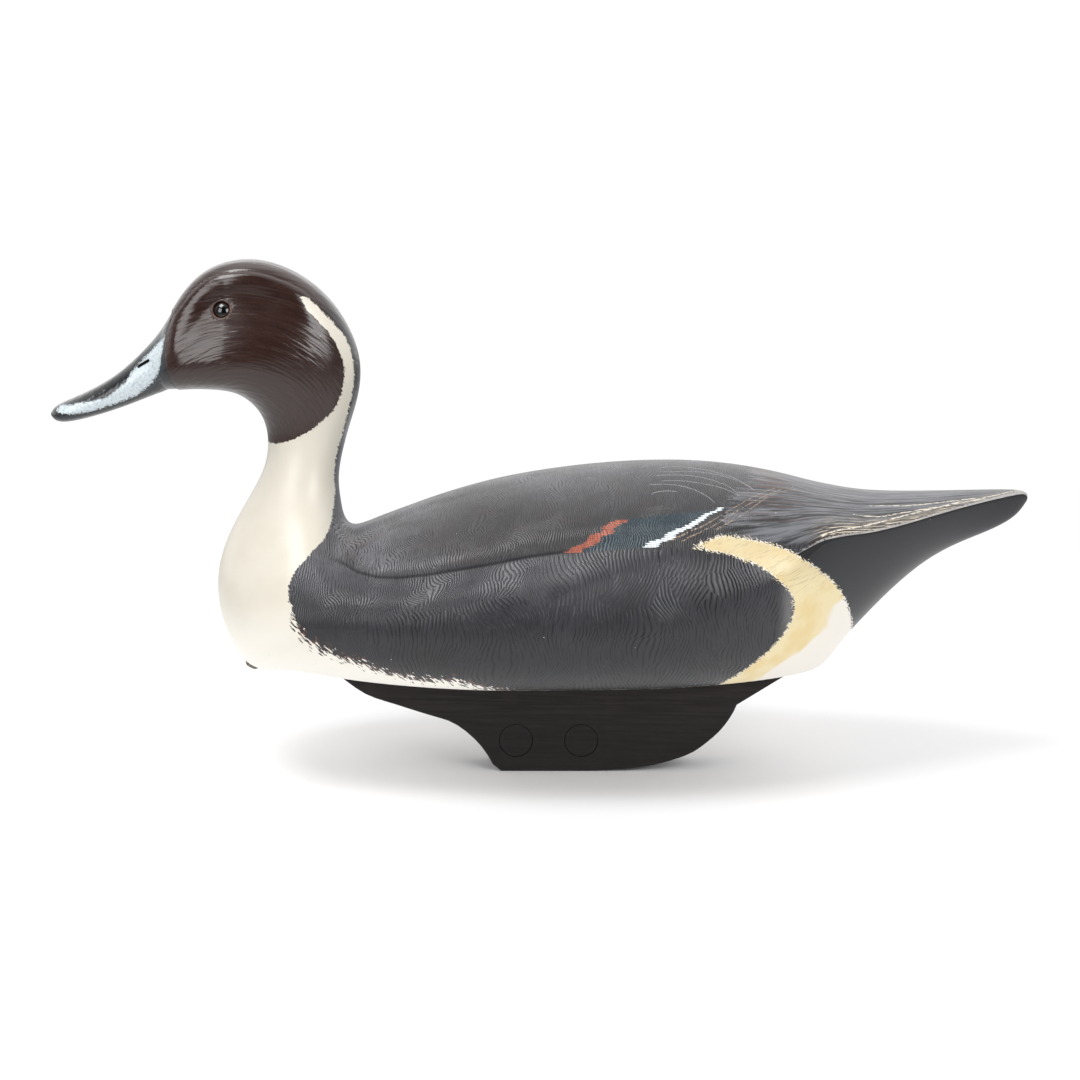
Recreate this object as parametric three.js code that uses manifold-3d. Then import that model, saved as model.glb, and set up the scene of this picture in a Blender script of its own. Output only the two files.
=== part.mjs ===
// A drake pintail decoy of carved and painted wood, standing on the flat foot of its weighted
// keel. Head, neck, bill and body are one faired carving. Glass eyes sit in drilled sockets,
// two round lead weights fill holes through the keel, and a wire staple under the breast
// takes the anchor line.
//
// Millimetres. +Z is up, the bill points to -X, and the decoy is alike on both sides of the
// plane Y = 0. The origin is on the ground, under the middle of the overall length.

import * as THREE from 'three';
import { mergeVertices } from 'three/addons/utils/BufferGeometryUtils.js';
import Module from 'manifold-3d';

// Driving dimensions of the carving, which is 480 long from bill tip to tail tip
const hullBottom = 51.4; // height of the flat bottom above the ground
const seamGap = 0.3; // clearance between pieces that touch

// The bottom is planed flat, with its corner eased by about this much
const bottomEase = 2;

// How closely the carving is cut into rings and facets, and how much closer the facets stand
// for each millimetre of a hollow's depth
const ringSpacing = 10;
const facetsPerSide = 21;
const halfSectionSamples = 240;
const hollowCrowding = 0.3;

// The lines of the carving, from tail tip to bill tip. Each station is one cross-section,
// in a plane that holds its top and foot points [x, z] and is square to Y. half is its
// half-width, and beam is where that width lies, from 0 at the foot to 1 at the top.
// upper and lower give [flatness, edge] above and below the beam: edge 2 is round and
// edge 1 is a sharp arris. bow carries the sides of the section towards the bill.
const stations = [
  { top: [240, 138], foot: [240, 135], half: 1.5, beam: 0.6, upper: [2, 1.6], lower: [2, 1.8] },
  { top: [238.5, 139.2], foot: [237.5, 131.2], half: 3.5, beam: 0.9, upper: [2, 1.4], lower: [2, 1.6] },
  { top: [233, 140], foot: [232, 125.5], half: 7, beam: 0.91, upper: [2, 1.2], lower: [2, 1.4] },
  { top: [219, 139.6], foot: [218, 118], half: 13, beam: 0.88, upper: [2, 1.1], lower: [2, 1.3] },
  { top: [192, 138.6], foot: [190, 105.5], half: 26, beam: 0.82, upper: [2, 1.05], lower: [2, 1.3] },
  { top: [165, 138.4], foot: [161, 77.5], half: 40, beam: 0.832, upper: [2, 1.05], lower: [2, 1.3] },
  { top: [148, 140.2], foot: [147.5, 62], half: 48, beam: 0.836, upper: [2, 1.2], lower: [2, 1.35] },
  { top: [134, 143], foot: [137.5, 50.5], half: 54, beam: 0.8, upper: [2, 1.4], lower: [2.2, 1.5] },
  { top: [116, 148], foot: [118, 44], half: 61.5, beam: 0.63, upper: [2, 1.75], lower: [2.2, 1.8] },
  { top: [88, 152.3], foot: [90, 42], half: 71.5, beam: 0.49, upper: [2.1, 2], lower: [2.2, 2] },
  { top: [54, 153.3], foot: [54, 41], half: 78.5, beam: 0.42, upper: [2.1, 2], lower: [2.2, 2] },
  { top: [15, 150.2], foot: [15, 41], half: 80.5, beam: 0.41, upper: [2.1, 2], lower: [2.2, 2] },
  { top: [-24, 144], foot: [-26, 40.5], half: 79, beam: 0.42, upper: [2.1, 2], lower: [2.2, 2] },
  { top: [-58, 134], foot: [-64, 43.5], half: 74.5, beam: 0.45, upper: [2, 2], lower: [2.2, 2] },
  { top: [-80, 126], foot: [-100, 48.5], half: 69, beam: 0.49, upper: [2, 2], lower: [2.2, 2] },
  { top: [-91.5, 122], foot: [-125, 53], half: 64, beam: 0.5, upper: [1.9, 2], lower: [2.2, 2] },
  { top: [-96.8, 126], foot: [-144.5, 54], half: 59, beam: 0.49, upper: [1.9, 2], lower: [2.2, 2] },
  { top: [-98.5, 135], foot: [-157.5, 77], half: 46.5, beam: 0.48, upper: [1.9, 2], lower: [2.1, 2] },
  { top: [-99.5, 146], foot: [-159, 103], half: 32, beam: 0.49, upper: [2, 2], lower: [2, 2] },
  { top: [-97.5, 159], foot: [-149, 127.5], half: 22.5, beam: 0.5, upper: [2, 2], lower: [2, 2] },
  { top: [-93.5, 174], foot: [-137, 148.5], half: 18.5, beam: 0.5, upper: [2, 2], lower: [2, 2] },
  { top: [-89, 190], foot: [-134, 165], half: 18.5, beam: 0.5, upper: [2, 2], lower: [2, 2] },
  { top: [-89, 209], foot: [-137, 178.5], half: 21.5, beam: 0.46, upper: [2.1, 2], lower: [2.2, 2] },
  { top: [-99, 230], foot: [-146, 188], half: 24.5, beam: 0.37, upper: [2.6, 1.7], lower: [2.6, 2] },
  { top: [-114.5, 245], foot: [-155.5, 190.8], half: 25.5, beam: 0.31, upper: [3.1, 1.5], lower: [2.6, 2] },
  { top: [-133.5, 253.4], foot: [-163.5, 191.4], half: 25, beam: 0.27, upper: [3.3, 1.4], lower: [2.6, 2] },
  { top: [-150.5, 253.4], foot: [-170, 191.4], half: 23.5, beam: 0.26, upper: [3.3, 1.4], lower: [2.6, 2], bow: 1 },
  { top: [-164, 248.2], foot: [-175, 191], half: 21.5, beam: 0.26, upper: [3, 1.4], lower: [2.6, 2], bow: 2.2 },
  { top: [-174, 238.5], foot: [-179, 190.7], half: 18, beam: 0.28, upper: [2.7, 1.5], lower: [2.6, 2], bow: 3.5 },
  { top: [-181, 227.5], foot: [-181, 190.6], half: 15, beam: 0.31, upper: [2.4, 1.6], lower: [2.6, 2], bow: 4.2 },
  { top: [-182.5, 225.3], foot: [-181.7, 190.6], half: 14, beam: 0.32, upper: [2.2, 1.7], lower: [2.3, 2], bow: 4.2 },
  { top: [-184, 223], foot: [-182.6, 190], half: 13, beam: 0.33, upper: [2, 1.8], lower: [2.2, 2], bow: 4.2 },
  { top: [-190.5, 214], foot: [-189, 187.8], half: 11, beam: 0.36, upper: [2, 2], lower: [2.3, 2], bow: 3.2 },
  { top: [-204, 200.4], foot: [-202, 182.7], half: 10, beam: 0.42, upper: [2.3, 2], lower: [2.5, 2], bow: 1.5 },
  { top: [-219.5, 190.6], foot: [-216.5, 178], half: 10, beam: 0.46, upper: [2.4, 2], lower: [2.5, 2], bow: 0.5 },
  { top: [-231.5, 185.2], foot: [-229.5, 175], half: 10.5, beam: 0.47, upper: [2.3, 2], lower: [2.4, 2] },
  { top: [-237.8, 182], foot: [-236.8, 175], half: 7.5, beam: 0.49, upper: [2.1, 2], lower: [2.2, 2] },
  { top: [-240, 179.2], foot: [-240, 177.6], half: 2, beam: 0.5, upper: [2, 2], lower: [2, 2] },
];

// Soft hollows pressed into each side, every one along a line [x, z] seen from the side:
// its depth, its reach above and below the line, and the x where it fades in and out
const hollows = [
  {
    // Along the top of the side pocket, where the folded wing tucks in
    line: [
      [-111, 119], [-102, 115], [-93, 111.5], [-79, 109], [-61, 110],
      [-39, 113.5], [-6, 121], [29, 125], [60, 125.5],
    ],
    depth: 3.4,
    above: 5,
    below: 9,
    fade: [-110, -86, 0, 60],
  },
  {
    // Between the folded wing and the ridge of the back
    line: [[-113, 115.5], [-100, 118.5], [-82, 120], [-57, 124.5], [-28, 130.5], [-1, 135.5], [29, 139]],
    depth: 2,
    above: 10,
    below: 9,
    fade: [-112, -84, -40, 30],
  },
  {
    // The channel that holds the eye, between the crown and the cheek
    line: [[-187, 220.5], [-176, 226.5], [-153, 236.5], [-126, 237.5], [-101, 227.5]],
    depth: 3.6,
    above: 9,
    below: 15,
    fade: [-182, -158, -136, -104],
  },
];

// The hollows run out to nothing this close to the middle plane
const hollowRunOut = [4, 14];

// Glass eyes: a button with a domed front in a drilled socket, set square to the side of the
// head, so that it looks out with a lean upwards and a turn towards the bill, in degrees
const eye = {
  x: -154.2,
  z: 232.6,
  lean: 21,
  turn: 9,
  radius: 4.6,
  dome: 2.2,
  domeSteps: 4,
  shank: 3.4,
  shankTaper: 0.8,
  facets: 16,
  proud: 0.5,
};

// Nostril slots near the root of the bill
const nostril = { x: -193.1, z: 204.6, length: 7, width: 1.5, depth: 2.4, slope: 32 };

// The keel board, seen from the side: the curve of its nose down to the flat foot, and the
// curve of its heel up to the kink, from which it runs straight up into the hull. The board is
// thick enough for the decoy to stand on its foot.
const keelThickness = 28;
const keelEase = 1;
const keelNose = [
  [-108, 56], [-95.7, 45.8], [-85.4, 38.9], [-70.5, 33.8], [-55.6, 28.9], [-45.1, 25.6],
  [-37.7, 20.9], [-31.7, 15.3], [-27.2, 9.6], [-23.7, 3.4], [-19.6, 0],
];
const keelHeel = [
  [28, 0], [44.8, 1.2], [59.7, 3.9], [74.7, 9.1], [85.1, 16.8], [91, 23], [95.4, 29.7], [97.3, 34],
];
const keelTail = [130, 54.6];
const keelCurveSteps = 20;

// The two round lead weights through the keel, filed off just under its painted sides
const weight = { radius: 8.1, xs: [-12.2, 20.2], z: 15.9, facets: 28, filedUnder: 0.2 };

// The staple under the breast that holds the anchor line. bend is the share of its half-width
// that each rounded corner takes, and slope its lean in degrees.
const staple = {
  x: -142.6,
  z: 53.4,
  width: 6.4,
  drop: 3.4,
  wire: 0.8,
  leg: 6,
  bend: 0.8,
  slope: -24,
  sides: 8,
  holeSides: 12,
  steps: 24,
};

// Weights of the four control values that a cubic B-spline blends at u between two knots
function splineWeights(u) {
  const v = 1 - u;
  return [v ** 3, 3 * u ** 3 - 6 * u ** 2 + 4, 3 * v ** 3 - 6 * v ** 2 + 4, u ** 3].map((w) => w / 6);
}

// A fair curve along a row of values: a B-spline whose control values are pushed out so that
// it passes within a hair of the given ones
function fair(values, position) {
  const last = values.length - 1;
  const at = (i) => {
    if (i < 0) return 2 * values[0] - values[-i];
    if (i > last) return 2 * values[last] - values[2 * last - i];
    return values[i];
  };
  const control = (i) => at(i) - (at(i - 1) - 2 * at(i) + at(i + 1)) / 6;
  const span = Math.min(Math.floor(position), last - 1);
  const weights = splineWeights(position - span);
  return weights.reduce((sum, w, k) => sum + w * control(span - 1 + k), 0);
}

// Every column of the station table as its own row of values
const table = Object.fromEntries(
  Object.entries({
    topX: (s) => s.top[0],
    topZ: (s) => s.top[1],
    footX: (s) => s.foot[0],
    footZ: (s) => s.foot[1],
    half: (s) => s.half,
    beam: (s) => s.beam,
    crown: (s) => s.upper[0],
    upperEdge: (s) => s.upper[1],
    belly: (s) => s.lower[0],
    lowerEdge: (s) => s.lower[1],
    bow: (s) => s.bow ?? 0,
  }).map(([name, read]) => [name, stations.map(read)]),
);

function sectionAt(position) {
  return Object.fromEntries(Object.entries(table).map(([name, row]) => [name, fair(row, position)]));
}

// Positions of the rings: each gap between stations is split to about the ring spacing
function ringPositions(spacing) {
  const positions = [];
  for (let i = 0; i < stations.length - 1; i += 1) {
    const [a, b] = [stations[i], stations[i + 1]];
    const reach = (key) => Math.hypot(b[key][0] - a[key][0], b[key][1] - a[key][1]);
    const parts = Math.max(1, Math.round(Math.max(reach('top'), reach('foot')) / spacing));
    for (let k = 0; k < parts; k += 1) positions.push(i + k / parts);
  }
  positions.push(stations.length - 1);
  return positions;
}

// Height of a line of points at x, by straight runs between them
function lineHeight(line, x) {
  const next = THREE.MathUtils.clamp(line.findIndex((p) => p[0] >= x), 1, line.length - 1);
  const [a, b] = [line[next - 1], line[next]];
  return THREE.MathUtils.mapLinear(x, a[0], b[0], a[1], b[1]);
}

// How deep the hollows are at a point of the carving's side
function hollowDepth([x, out, z]) {
  const { smoothstep } = THREE.MathUtils;
  return hollows.reduce((sum, { line, depth, above, below, fade: [from, full, wane, to] }) => {
    if (x <= from || x >= to) return sum;
    const lengthwise = smoothstep(x, from, full) * (1 - smoothstep(x, wane, to));
    const strength = lengthwise * smoothstep(out, ...hollowRunOut);
    const rise = z - lineHeight(line, x);
    const share = rise / (rise > 0 ? above : below);
    return sum + depth * strength * Math.exp(-share * share);
  }, 0);
}

// Lifts whatever would lie under the flat bottom onto it, with a soft corner
function planed(z) {
  const over = z - hullBottom;
  return hullBottom + (over + Math.hypot(over, bottomEase)) / 2;
}

// One side of a section, from its top to its foot, as points [x, out, z]
function halfSection(position) {
  const s = sectionAt(position);
  const chord = new THREE.Vector2(s.topX - s.footX, s.topZ - s.footZ);
  const height = chord.length();
  chord.normalize();
  const ahead = new THREE.Vector2(-chord.y, chord.x);
  const points = [];
  for (let i = 0; i <= halfSectionSamples; i += 1) {
    const turn = (Math.PI * i) / halfSectionSamples;
    const out = Math.min(1, Math.sin(turn));
    const above = turn <= Math.PI / 2;
    const rise = above
      ? (1 - out ** s.crown) ** (1 / s.upperEdge) * (1 - s.beam) + s.beam
      : s.beam - (1 - out ** s.belly) ** (1 / s.lowerEdge) * s.beam;
    const lead = s.bow * out * out;
    points.push([
      s.footX + chord.x * rise * height + ahead.x * lead,
      s.half * out,
      planed(s.footZ + chord.y * rise * height + ahead.y * lead),
    ]);
  }
  return points;
}

// Walks along a half-section and sets points at even steps, closer together in the hollows
function spacedPoints(points, count) {
  const run = [0];
  for (let i = 1; i < points.length; i += 1) {
    const [a, b] = [points[i - 1], points[i]];
    const step = Math.hypot(b[0] - a[0], b[1] - a[1], b[2] - a[2]);
    run.push(run[i - 1] + step * (1 + hollowDepth(b) * hollowCrowding));
  }
  const spaced = [];
  let i = 1;
  for (let k = 0; k <= count; k += 1) {
    const target = (run.at(-1) * k) / count;
    while (i < run.length - 1 && run[i] < target) i += 1;
    const share = (target - run[i - 1]) / (run[i] - run[i - 1]);
    spaced.push(points[i].map((value, axis) => THREE.MathUtils.lerp(points[i - 1][axis], value, share)));
  }
  return spaced;
}

// Presses the hollows into a half-section, square to its outline
function hollowed(points) {
  return points.map((point, i) => {
    const cut = hollowDepth(point);
    if (cut < 0.01) return point;
    const [a, b] = [points[i - 1], points[i + 1]];
    const along = new THREE.Vector2(b[1] - a[1], Math.hypot(b[0] - a[0], b[2] - a[2])).normalize();
    return [point[0], point[1] - cut * along.y, point[2] - cut * along.x];
  });
}

// The closed skin of the carving: rings from tail to bill, with a point at each end
function carvingGeometry() {
  const vertices = [];
  const rings = ringPositions(ringSpacing).map((position) => {
    const side = hollowed(spacedPoints(halfSection(position), facetsPerSide));
    const near = side.map(([x, out, z]) => [x, -out, z]);
    const far = side.slice(1, -1).reverse();
    return [...near, ...far];
  });
  rings.forEach((ring) => ring.forEach((point) => vertices.push(...point)));
  const around = facetsPerSide * 2;
  const indices = [];
  for (let r = 0; r < rings.length - 1; r += 1) {
    for (let k = 0; k < around; k += 1) {
      const [a, b] = [r * around + k, r * around + ((k + 1) % around)];
      indices.push(a, a + around, b, b, a + around, b + around);
    }
  }
  const ends = [rings[0], rings.at(-1)].map((ring) => {
    const middle = [0, 1, 2].map((axis) => (ring[0][axis] + ring[facetsPerSide][axis]) / 2);
    vertices.push(...middle);
    return vertices.length / 3 - 1;
  });
  const lastRing = (rings.length - 1) * around;
  for (let k = 0; k < around; k += 1) {
    const next = (k + 1) % around;
    indices.push(ends[0], k, next);
    indices.push(ends[1], lastRing + next, lastRing + k);
  }
  const geometry = new THREE.BufferGeometry();
  geometry.setAttribute('position', new THREE.Float32BufferAttribute(vertices, 3));
  geometry.setIndex(indices);
  return geometry;
}

// How far the carving's side stands out from the middle plane at a place seen from the side,
// read off rings that are set this closely
const searchSpacing = 1.5;

function sideAt(x, z) {
  let best = { distance: Infinity, out: 0 };
  for (const position of ringPositions(searchSpacing)) {
    for (const [px, out, pz] of hollowed(halfSection(position))) {
      const distance = Math.hypot(px - x, pz - z);
      if (distance < best.distance) best = { distance, out };
    }
  }
  return best.out;
}

const wasm = await Module();
wasm.setup();

function solidFrom(geometry) {
  const bare = geometry.clone();
  bare.deleteAttribute('normal');
  bare.deleteAttribute('uv');
  const merged = mergeVertices(bare);
  return new wasm.Manifold(
    new wasm.Mesh({
      numProp: 3,
      vertProperties: new Float32Array(merged.attributes.position.array),
      triVerts: new Uint32Array(merged.index.array),
    }),
  );
}

function geometryFrom(solid) {
  const mesh = solid.getMesh();
  const geometry = new THREE.BufferGeometry();
  geometry.setAttribute('position', new THREE.Float32BufferAttribute(mesh.vertProperties, 3));
  geometry.setIndex(Array.from(mesh.triVerts));
  return geometry;
}

// The carving before anything is drilled or cut into it
const blank = solidFrom(carvingGeometry());

function namedMesh(name, geometry, material) {
  geometry.computeVertexNormals();
  const mesh = new THREE.Mesh(geometry, material);
  mesh.name = name;
  return mesh;
}

// The eye's outline turned about its own axis, grown all round by a margin
function eyeGeometry(margin) {
  const radius = eye.radius + margin;
  const back = -eye.shank - margin;
  const profile = [new THREE.Vector2(0, back), new THREE.Vector2(radius * eye.shankTaper, back)];
  for (let i = 0; i <= eye.domeSteps; i += 1) {
    const turn = (Math.PI / 2) * (i / eye.domeSteps);
    profile.push(new THREE.Vector2(radius * Math.cos(turn), (eye.dome + margin) * Math.sin(turn)));
  }
  profile.at(-1).x = 0;
  return new THREE.LatheGeometry(profile, eye.facets);
}

// Moves an eye-shaped geometry from its own axis to its place on one side of the head
function placeEye(geometry, side) {
  const { degToRad } = THREE.MathUtils;
  geometry.translate(0, eye.proud - eye.dome, 0);
  if (side < 0) geometry.rotateX(Math.PI);
  geometry.rotateX(side * degToRad(eye.lean));
  geometry.rotateZ(side * degToRad(eye.turn));
  geometry.translate(eye.x, side * sideAt(eye.x, eye.z), eye.z);
  return geometry;
}

// A nostril slot as a short bar with round ends, to be cut out of the bill
function nostrilGeometry(side) {
  const radius = nostril.width / 2;
  const straight = nostril.length / 2 - radius;
  const outline = new THREE.Shape();
  outline.absarc(straight, 0, radius, -Math.PI / 2, Math.PI / 2, false);
  outline.absarc(-straight, 0, radius, Math.PI / 2, (3 * Math.PI) / 2, false);
  const reach = nostril.depth * 3;
  const bar = new THREE.ExtrudeGeometry(outline, { depth: reach, bevelEnabled: false, curveSegments: 4 });
  bar.rotateZ(THREE.MathUtils.degToRad(nostril.slope));
  bar.rotateX(Math.PI / 2);
  const out = sideAt(nostril.x, nostril.z) - nostril.depth;
  bar.translate(nostril.x, side > 0 ? out + reach : -out, nostril.z);
  return bar;
}

// The staple's centre line: down one leg, round the crown and up the other
function stapleLine(legTop) {
  const half = staple.width / 2;
  const bend = half * staple.bend;
  const path = new THREE.CurvePath();
  const point = (x, z) => new THREE.Vector3(x, 0, z);
  const corner = (x, from, to) => new THREE.QuadraticBezierCurve3(from, point(x, -staple.drop), to);
  const [leftEnd, leftFlat] = [point(-half, bend - staple.drop), point(bend - half, -staple.drop)];
  const [rightFlat, rightEnd] = [point(half - bend, -staple.drop), point(half, bend - staple.drop)];
  path.add(new THREE.LineCurve3(point(-half, legTop), leftEnd));
  path.add(corner(-half, leftEnd, leftFlat));
  path.add(new THREE.LineCurve3(leftFlat, rightFlat));
  path.add(corner(half, rightFlat, rightEnd));
  path.add(new THREE.LineCurve3(rightEnd, point(half, legTop)));
  return path;
}

function placeStaple(geometry) {
  geometry.rotateY(THREE.MathUtils.degToRad(-staple.slope));
  geometry.translate(staple.x, 0, staple.z);
  return geometry;
}

function roundShape(radius, sides) {
  const corners = Array.from({ length: sides }, (_, k) => {
    const turn = (2 * Math.PI * k) / sides;
    return new THREE.Vector2(radius * Math.cos(turn), radius * Math.sin(turn));
  });
  return new THREE.Shape(corners);
}

function stapleGeometry() {
  const section = roundShape(staple.wire, staple.sides);
  const bar = { steps: staple.steps, bevelEnabled: false, extrudePath: stapleLine(staple.leg) };
  return placeStaple(new THREE.ExtrudeGeometry(section, bar));
}

// The two drilled holes that the staple's legs go up into
function stapleHole(side) {
  const depth = staple.leg + staple.drop;
  const radius = staple.wire + seamGap;
  const hole = new THREE.CylinderGeometry(radius, radius, depth, staple.holeSides);
  hole.rotateX(Math.PI / 2);
  hole.translate((side * staple.width) / 2, 0, depth / 2 - staple.drop + seamGap * 2);
  return placeStaple(hole);
}

function carving() {
  let solid = blank;
  for (const side of [-1, 1]) {
    solid = solid.subtract(solidFrom(placeEye(eyeGeometry(seamGap), side)));
    solid = solid.subtract(solidFrom(nostrilGeometry(side)));
    solid = solid.subtract(solidFrom(stapleHole(side)));
  }
  const paint = new THREE.MeshStandardMaterial({ color: 0x46464c, roughness: 0.42, metalness: 0 });
  return namedMesh('carved_duck', geometryFrom(solid), paint);
}

// The keel's side outline, carried up inside the hull where it will be cut away
function keelOutline() {
  const along = (rows) => {
    const knots = rows.map(([x, z]) => new THREE.Vector2(x, z));
    return new THREE.SplineCurve(knots).getSpacedPoints(keelCurveSteps);
  };
  return new THREE.Shape([...along(keelNose), ...along(keelHeel), new THREE.Vector2(...keelTail)]);
}

function keel() {
  const board = new THREE.ExtrudeGeometry(keelOutline(), {
    depth: keelThickness - 2 * keelEase,
    bevelThickness: keelEase,
    bevelSize: keelEase,
    bevelOffset: -keelEase,
    bevelSegments: 2,
  });
  board.rotateX(Math.PI / 2);
  board.translate(0, keelThickness / 2 - keelEase, 0);
  let solid = solidFrom(board).subtract(blank.translate([0, 0, -seamGap]));
  for (const x of weight.xs) {
    const bore = weight.radius + seamGap;
    const hole = new THREE.CylinderGeometry(bore, bore, keelThickness * 2, weight.facets);
    hole.translate(x, 0, weight.z);
    solid = solid.subtract(solidFrom(hole));
  }
  const blackPaint = new THREE.MeshStandardMaterial({ color: 0x2b2928, roughness: 0.6, metalness: 0 });
  return namedMesh('keel', geometryFrom(solid), blackPaint);
}

function keelWeight(name, x) {
  const length = keelThickness - 2 * weight.filedUnder;
  const plug = new THREE.CylinderGeometry(weight.radius, weight.radius, length, weight.facets);
  plug.translate(x, 0, weight.z);
  const paintedLead = new THREE.MeshStandardMaterial({ color: 0x2d2b2a, roughness: 0.6, metalness: 0.1 });
  return namedMesh(name, plug, paintedLead);
}

function glassEye(name, side) {
  const glass = new THREE.MeshStandardMaterial({ color: 0x140c0a, roughness: 0.05, metalness: 0 });
  return namedMesh(name, placeEye(eyeGeometry(0), side), glass);
}

function lineTie() {
  const wire = new THREE.MeshStandardMaterial({ color: 0x8c857c, roughness: 0.4, metalness: 1 });
  return namedMesh('line_tie', stapleGeometry(), wire);
}

const decoy = new THREE.Group();
decoy.add(carving());
decoy.add(keel());
['keel_weight_front', 'keel_weight_rear'].forEach((name, i) => decoy.add(keelWeight(name, weight.xs[i])));
decoy.add(glassEye('eye_left', 1));
decoy.add(glassEye('eye_right', -1));
decoy.add(lineTie());

export default decoy;
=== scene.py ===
import math

import bpy
import numpy as np
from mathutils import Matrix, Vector


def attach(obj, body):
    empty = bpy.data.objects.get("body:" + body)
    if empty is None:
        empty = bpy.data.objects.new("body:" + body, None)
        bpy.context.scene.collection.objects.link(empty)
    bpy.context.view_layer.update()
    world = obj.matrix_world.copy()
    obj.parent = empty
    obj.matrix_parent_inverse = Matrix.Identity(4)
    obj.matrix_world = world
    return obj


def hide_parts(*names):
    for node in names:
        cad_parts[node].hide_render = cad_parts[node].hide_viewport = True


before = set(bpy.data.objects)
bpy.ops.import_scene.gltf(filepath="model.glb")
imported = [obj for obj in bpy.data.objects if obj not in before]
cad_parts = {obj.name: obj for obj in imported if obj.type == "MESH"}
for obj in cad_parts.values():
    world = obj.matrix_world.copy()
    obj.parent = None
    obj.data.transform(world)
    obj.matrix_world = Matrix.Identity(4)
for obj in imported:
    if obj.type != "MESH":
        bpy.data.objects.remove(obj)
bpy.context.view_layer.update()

# --------------------------------------------------------------------------------
# The bird: body, neck, head and bill as one carving of light wood. It is sawn out, rounded with
# a spokeshave, hollowed round the eyes and over the folded wings, and sanded smooth. The top of
# each side pocket is cut in with a knife, and the bill stands in a little from the face.

MM = 0.001
HULL_BOTTOM = 51.4
BOTTOM_EASE = 2

# Its lines from tail tip to bill tip, in millimetres. Each row is one cross-section: where its
# top and its foot are, its half-width, how high that width lies (0 foot, 1 top), how flat and
# how edged it is above and below that, and how far its sides bow towards the bill.
STATIONS = np.array([
    # top x, z      foot x, z      half  at    above      below     bow
    [240, 138,      240, 135,      1.5, 0.60,  2, 1.6,    2, 1.8,    0],
    [238.5, 139.2,  237.5, 131.2,  3.5, 0.90,  2, 1.4,    2, 1.6,    0],
    [233, 140,      232, 125.5,    7, 0.91,    2, 1.2,    2, 1.4,    0],
    [219, 139.6,    218, 118,      13, 0.88,   2, 1.1,    2, 1.3,    0],
    [192, 138.6,    190, 105.5,    26, 0.82,   2, 1.05,   2, 1.3,    0],
    [165, 138.4,    161, 77.5,     40, 0.832, 2, 1.05,   2, 1.3,    0],
    [148, 140.2,    147.5, 62,     48, 0.836, 2, 1.2,    2, 1.35,   0],
    [134, 143,      137.5, 50.5,   54, 0.80,   2, 1.4,    2.2, 1.5,  0],
    [116, 148,      118, 44,       61.5, 0.63, 2, 1.75,   2.2, 1.8,  0],
    [88, 152.3,     90, 42,        71.5, 0.49, 2.1, 2,    2.2, 2,    0],
    [54, 153.3,     54, 41,        78.5, 0.42, 2.1, 2,    2.2, 2,    0],
    [15, 150.2,     15, 41,        80.5, 0.41, 2.1, 2,    2.2, 2,    0],
    [-24, 144,      -26, 40.5,     79, 0.42,   2.1, 2,    2.2, 2,    0],
    [-58, 134,      -64, 43.5,     74.5, 0.45, 2, 2,      2.2, 2,    0],
    [-80, 126,      -100, 48.5,    69, 0.49,   2, 2,      2.2, 2,    0],
    [-91.5, 122,    -125, 53,      64, 0.50,   1.9, 2,    2.2, 2,    0],
    [-96.8, 126,    -144.5, 54,    59, 0.49,   1.9, 2,    2.2, 2,    0],
    [-98.5, 135,    -157.5, 77,    46.5, 0.48, 1.9, 2,    2.1, 2,    0],
    [-99.5, 146,    -159, 103,     32, 0.49,   2, 2,      2, 2,      0],
    [-97.5, 159,    -149, 127.5,   22.5, 0.50, 2, 2,      2, 2,      0],
    [-93.5, 174,    -137, 148.5,   18.5, 0.50, 2, 2,      2, 2,      0],
    [-89, 190,      -134, 165,     18.5, 0.50, 2, 2,      2, 2,      0],
    [-89, 209,      -137, 178.5,   21.5, 0.46, 2.1, 2,    2.2, 2,    0],
    [-99, 230,      -146, 188,     24.5, 0.37, 2.6, 1.7,  2.6, 2,    0],
    [-114.5, 245,   -155.5, 190.8, 25.5, 0.31, 3.1, 1.5,  2.6, 2,    0],
    [-133.5, 253.4, -163.5, 191.4, 25, 0.27,   3.3, 1.4,  2.6, 2,    0],
    [-150.5, 253.4, -170, 191.4,   23.5, 0.26, 3.3, 1.4,  2.6, 2,    1],
    [-164, 248.2,   -175, 191,     21.5, 0.26, 3, 1.4,    2.6, 2,    2.2],
    [-174, 238.5,   -179, 190.7,   18, 0.28,   2.7, 1.5,  2.6, 2,    3.5],
    [-181, 227.5,   -181, 190.6,   15, 0.31,   2.4, 1.6,  2.6, 2,    4.2],
    [-182.5, 225.3, -181.7, 190.6, 14, 0.32,   2.2, 1.7,  2.3, 2,    4.2],
    [-184, 223,     -182.6, 190,   13, 0.33,   2, 1.8,    2.2, 2,    4.2],
    [-190.5, 214,   -189, 187.8,   11, 0.36,   2, 2,      2.3, 2,    3.2],
    [-204, 200.4,   -202, 182.7,   10, 0.42,   2.3, 2,    2.5, 2,    1.5],
    [-219.5, 190.6, -216.5, 178,   10, 0.46,   2.4, 2,    2.5, 2,    0.5],
    [-231.5, 185.2, -229.5, 175,   10.5, 0.47, 2.3, 2,    2.4, 2,    0],
    [-237.8, 182,   -236.8, 175,   7.5, 0.49,  2.1, 2,    2.2, 2,    0],
    [-240, 179.2,   -240, 177.6,   2, 0.50,    2, 2,      2, 2,      0],
])


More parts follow.
